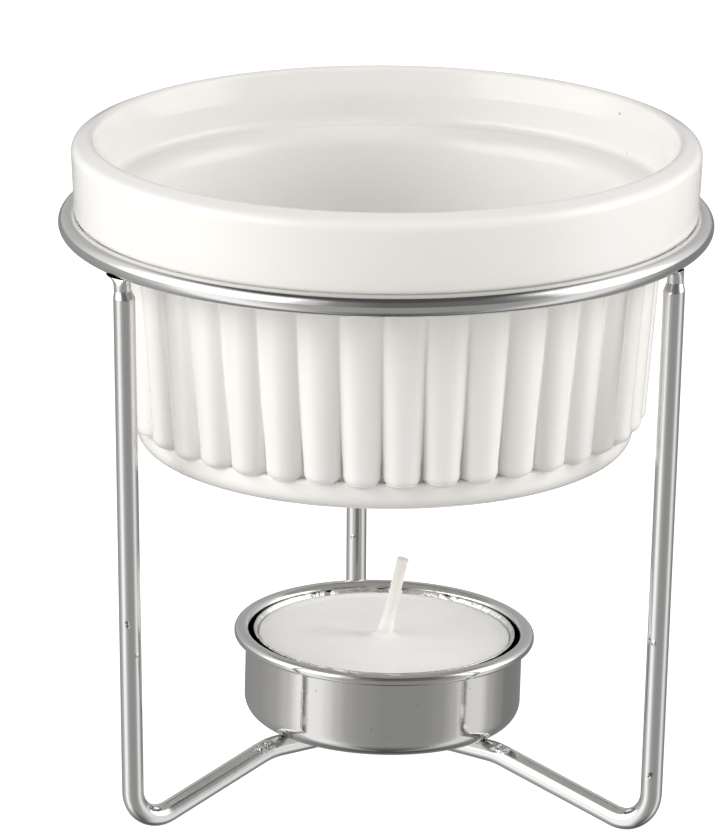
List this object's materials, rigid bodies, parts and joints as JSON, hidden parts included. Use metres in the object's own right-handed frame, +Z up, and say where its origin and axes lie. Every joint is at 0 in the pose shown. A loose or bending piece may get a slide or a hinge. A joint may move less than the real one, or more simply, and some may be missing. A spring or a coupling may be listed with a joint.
{
  "type": "butter warmer",
  "caption": "Butter warmer: a reeded white porcelain ramekin hangs in a chrome wire stand over a tealight in a round metal tray.",
  "frame": {"origin": "on the table, under the centre of the hoop", "axes": "+Z up along the hoop's axis, +Y from the centre towards the back leg, +X to the right seen from the front"},
  "size_m": [0.094, 0.094, 0.0964],
  "materials": {
    "porcelain": "glossy",
    "chrome_wire": "polished",
    "tray_metal": "drawn, satin to bright",
    "foil": "bright foil",
    "wax": "smooth, slightly translucent",
    "tinned_tab": "bright",
    "cotton_wick": "braided cotton in wax"
  },
  "bodies": {
    "root": {"ramekin": "porcelain", "top_ring": "chrome_wire", "leg_left": "chrome_wire", "leg_right": "chrome_wire", "leg_back": "chrome_wire", "candle_tray": "tray_metal", "tealight_shell": "foil", "tealight_wax": "wax", "wick_tab": "tinned_tab", "wick": "cotton_wick"}
  },
  "joints": []
}
